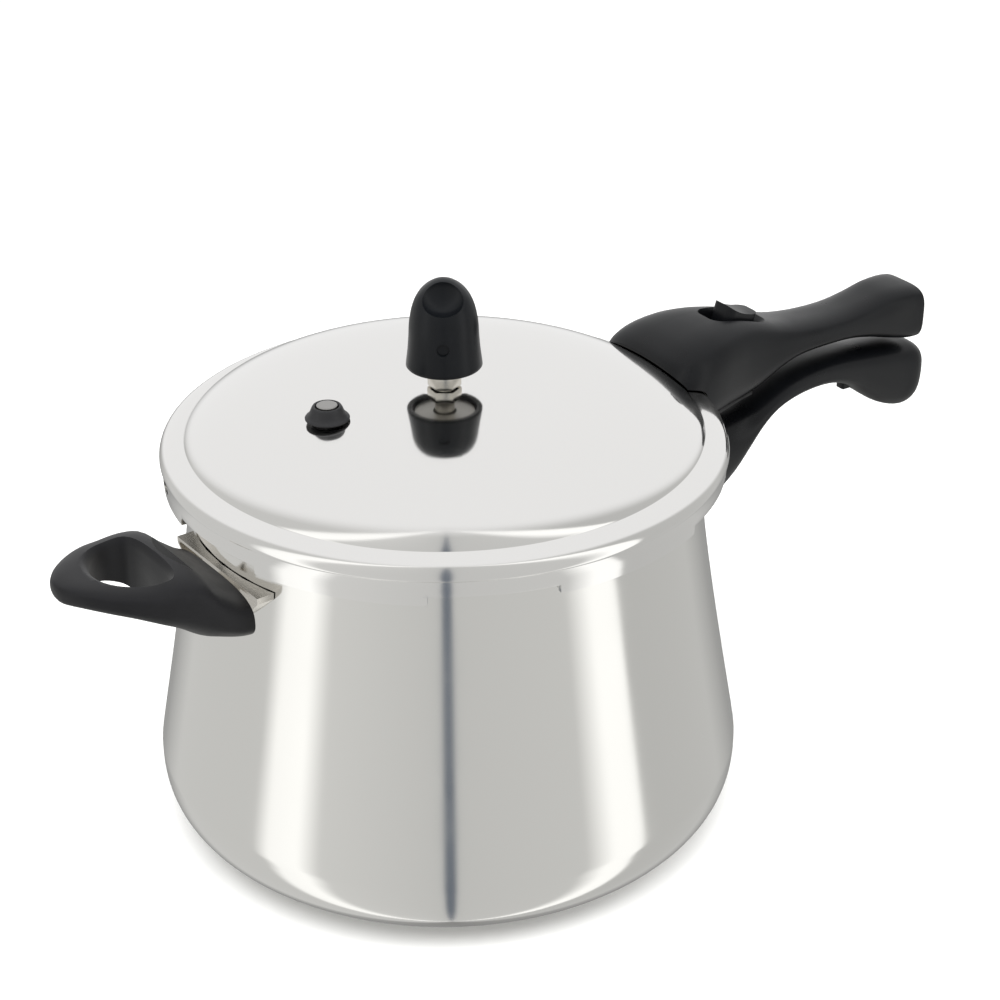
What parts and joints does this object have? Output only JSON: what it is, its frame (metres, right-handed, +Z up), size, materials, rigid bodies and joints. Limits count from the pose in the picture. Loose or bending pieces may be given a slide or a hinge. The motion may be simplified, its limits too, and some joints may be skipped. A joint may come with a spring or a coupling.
{
  "type": "stovetop pressure cooker",
  "caption": "Aluminium stovetop pressure cooker with an outer bayonet lid, vent weight, safety plug, paired long handles and a helper handle.",
  "frame": {"origin": "centre of the pot's flat base, on its underside", "axes": "+Z up along the pot's axis, +X from the pot's axis towards the tips of the two long handles, +Y to the left of that"},
  "size_m": [0.4249, 0.245, 0.235],
  "materials": {
    "polished_aluminium": "mirror polished outside with fine lathe lines",
    "black_phenolic": "moulded phenolic, semi-gloss",
    "stainless_steel": "pressed sheet, lightly brushed",
    "black_rubber": "moulded rubber, matt",
    "plated_brass": "nickel plated, turned",
    "fusible_metal": "turned grey metal"
  },
  "bodies": {
    "pot": {"pot_body": "polished_aluminium", "lower_handle_bracket": "stainless_steel", "lower_bracket_rivet_1": "stainless_steel", "lower_bracket_rivet_2": "stainless_steel", "lower_bracket_rivet_3": "stainless_steel", "lower_bracket_rivet_4": "stainless_steel", "lower_handle": "black_phenolic", "lower_handle_screw": "stainless_steel", "latch_keeper": "stainless_steel", "latch_keeper_screw": "stainless_steel", "helper_bracket": "stainless_steel", "helper_bracket_rivet_1": "stainless_steel", "helper_bracket_rivet_2": "stainless_steel", "helper_handle": "black_phenolic", "helper_handle_screw": "stainless_steel"},
    "lid": {"lid_shell": "polished_aluminium", "gasket": "black_rubber", "lid_bracket": "stainless_steel", "lid_bracket_rivet_1": "stainless_steel", "lid_bracket_rivet_2": "stainless_steel", "upper_handle": "black_phenolic", "upper_handle_screw_1": "stainless_steel", "upper_handle_screw_2": "stainless_steel", "latch_cover": "black_phenolic", "latch_detent_spring": "stainless_steel", "vent_pipe": "plated_brass", "vent_washer": "black_rubber", "vent_pipe_nut": "plated_brass", "safety_plug": "black_rubber", "safety_plug_insert": "fusible_metal"},
    "latch": {"latch_knob": "black_phenolic", "latch_bar": "stainless_steel", "latch_screw": "stainless_steel"},
    "weight": {"weight_cap": "black_phenolic", "weight_core": "fusible_metal"}
  },
  "joints": [
    {"name": "lid_turn", "type": "hinge", "parent": "pot", "child": "lid", "pos_m": [0, 0, 0.16], "axis": [0, 0, 1], "range_deg": [0, 30]},
    {"name": "weight_lift", "type": "slide", "parent": "lid", "child": "weight", "axis": [0, 0, 1], "range_m": [0, 0.04]},
    {"name": "latch_slide", "type": "slide", "parent": "lid", "child": "latch", "axis": [-0.9563, 0, 0.2924], "range_m": [0, 0.007]}
  ]
}
